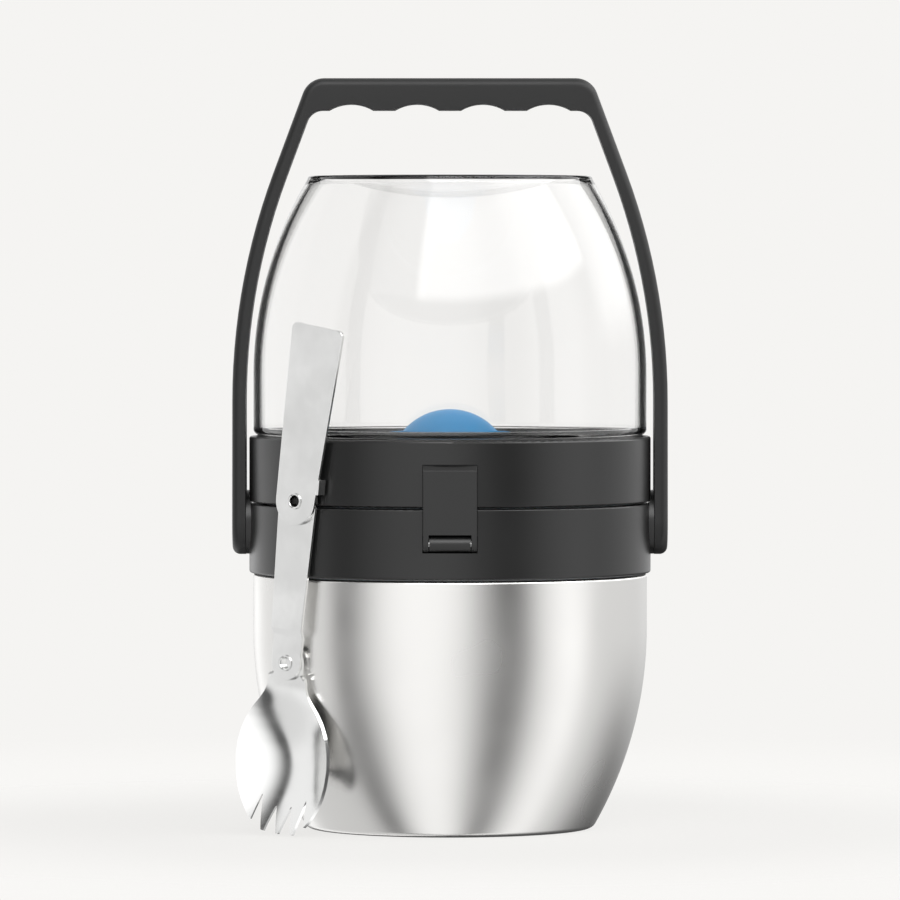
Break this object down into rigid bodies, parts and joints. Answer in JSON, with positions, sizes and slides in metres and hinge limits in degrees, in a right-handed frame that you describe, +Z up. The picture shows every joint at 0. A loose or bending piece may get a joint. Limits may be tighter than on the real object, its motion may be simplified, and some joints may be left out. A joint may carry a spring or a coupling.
{
  "type": "insulated food jar",
  "caption": "Steel vacuum food jar with a hinged lid that carries a clear bowl upside down, a bail handle, a front latch and a folding spork leaning on the front.",
  "frame": {"origin": "centre of the steel bowl's foot, on the surface it stands on", "axes": "+Z up the bowl's axis; the latch at the front, -Y; the lid's hinge at the back, +Y; the bail's pivots along X"},
  "size_m": [0.1346, 0.1326, 0.232],
  "materials": {
    "brushed_steel_shell": "satin, spun",
    "steel_liner": "satin",
    "steel_pin": "turned",
    "spork_steel": "polished, flat plates satin",
    "rivet_steel": "polished",
    "black_ring": "satin moulded",
    "black_lid": "satin moulded",
    "black_bail": "fine matt grain",
    "black_latch": "fine matt grain",
    "grey_seal": "matt silicone",
    "blue_silicone": "smooth silicone",
    "clear_plastic": "clear moulded plastic"
  },
  "bodies": {
    "jar": {"outer_shell": "brushed_steel_shell", "inner_liner": "steel_liner", "base_disc": "steel_liner", "vacuum_plug": "steel_pin", "collar": "black_ring", "collar_seal": "grey_seal", "hinge_pin": "steel_pin", "latch_pin": "steel_pin", "bail_pins": "steel_pin"},
    "lid": {"lid_ring": "black_ring", "inner_lid": "black_lid", "lid_gasket": "grey_seal", "bowl_gasket": "grey_seal"},
    "vent": {"vent_button": "blue_silicone", "vent_valve": "black_lid", "vent_seal": "grey_seal"},
    "bowl": {"clear_bowl": "clear_plastic"},
    "bail": {"bail_handle": "black_bail", "bail_caps": "black_bail"},
    "latch": {"latch_flap": "black_latch"},
    "spork": {"spork_bowl": "spork_steel", "spork_lower_rivet": "rivet_steel"},
    "link": {"spork_link": "spork_steel", "spork_upper_rivet": "rivet_steel"},
    "handle": {"spork_handle": "spork_steel"}
  },
  "joints": [
    {"name": "lid_hinge", "type": "hinge", "parent": "jar", "child": "lid", "pos_m": [0, 0.066, 0.1009], "axis": [-1, 0, 0], "range_deg": [0, 90]},
    {"name": "bail_swing", "type": "hinge", "parent": "jar", "child": "bail", "pos_m": [0, 0, 0.0948], "axis": [1, 0, 0], "range_deg": [-126, 126]},
    {"name": "latch_swing", "type": "hinge", "parent": "jar", "child": "latch", "pos_m": [0, -0.06065, 0.09015], "axis": [1, 0, 0], "range_deg": [0, 90]},
    {"name": "bowl_twist", "type": "hinge", "parent": "lid", "child": "bowl", "pos_m": [0, 0, 0.11], "axis": [0, 0, 1], "range_deg": [0, 45]},
    {"name": "vent_press", "type": "slide", "parent": "lid", "child": "vent", "axis": [0, 0, -1], "range_m": [0, 0.002], "stiffness_N_per_m": 400},
    {"name": "spork_lift", "type": "slide", "parent": "jar", "child": "spork", "axis": [-0.4255, -0.5647, 0.7071], "range_m": [0, 0.15]},
    {"name": "link_fold", "type": "hinge", "parent": "spork", "child": "link", "pos_m": [-0.0487, -0.03887, 0.0532], "axis": [-0.6018, -0.7986, 0], "range_deg": [0, 180]},
    {"name": "handle_fold", "type": "hinge", "parent": "link", "child": "handle", "pos_m": [-0.04423, -0.04224, 0.10268], "axis": [-0.6018, -0.7986, 0], "range_deg": [0, 180]}
  ],
  "couplings": [
    {"joint": "bail_swing", "follows": "lid_hinge", "ratio": 1.4},
    {"joint": "latch_swing", "follows": "lid_hinge", "ratio": 1}
  ]
}
